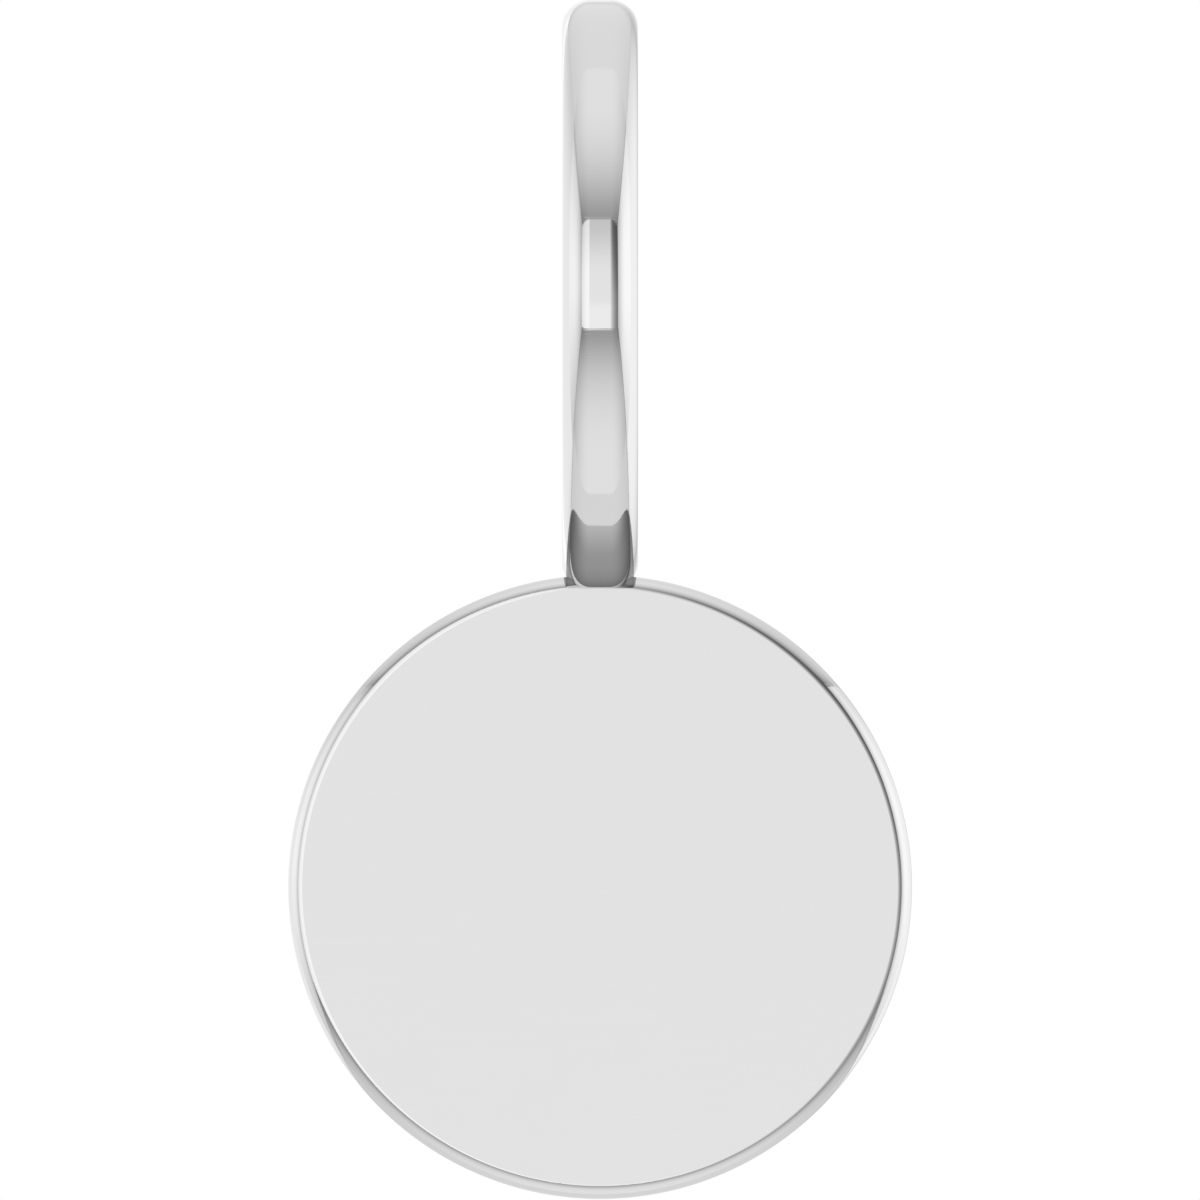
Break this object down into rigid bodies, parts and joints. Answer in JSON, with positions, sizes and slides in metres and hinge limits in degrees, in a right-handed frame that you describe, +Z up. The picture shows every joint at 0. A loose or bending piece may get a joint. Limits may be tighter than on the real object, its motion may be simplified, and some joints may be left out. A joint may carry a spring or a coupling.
{
  "type": "disc pendant with ring bail",
  "caption": "Plain round disc pendant in mirror-polished white metal, with rounded edges and a large plain ring soldered edge-on into its top.",
  "frame": {"origin": "inside top of the ring bail, where a chain bears when the pendant hangs", "axes": "+Z up as it hangs, -Y out of the disc's front face, +X across the face and along the axis of the ring's hole"},
  "size_m": [0.01, 0.0094, 0.0192],
  "materials": {
    "polished_silver": "mirror-polished white precious metal, all over"
  },
  "bodies": {
    "root": {"disc_with_bail": "polished_silver"}
  },
  "joints": []
}
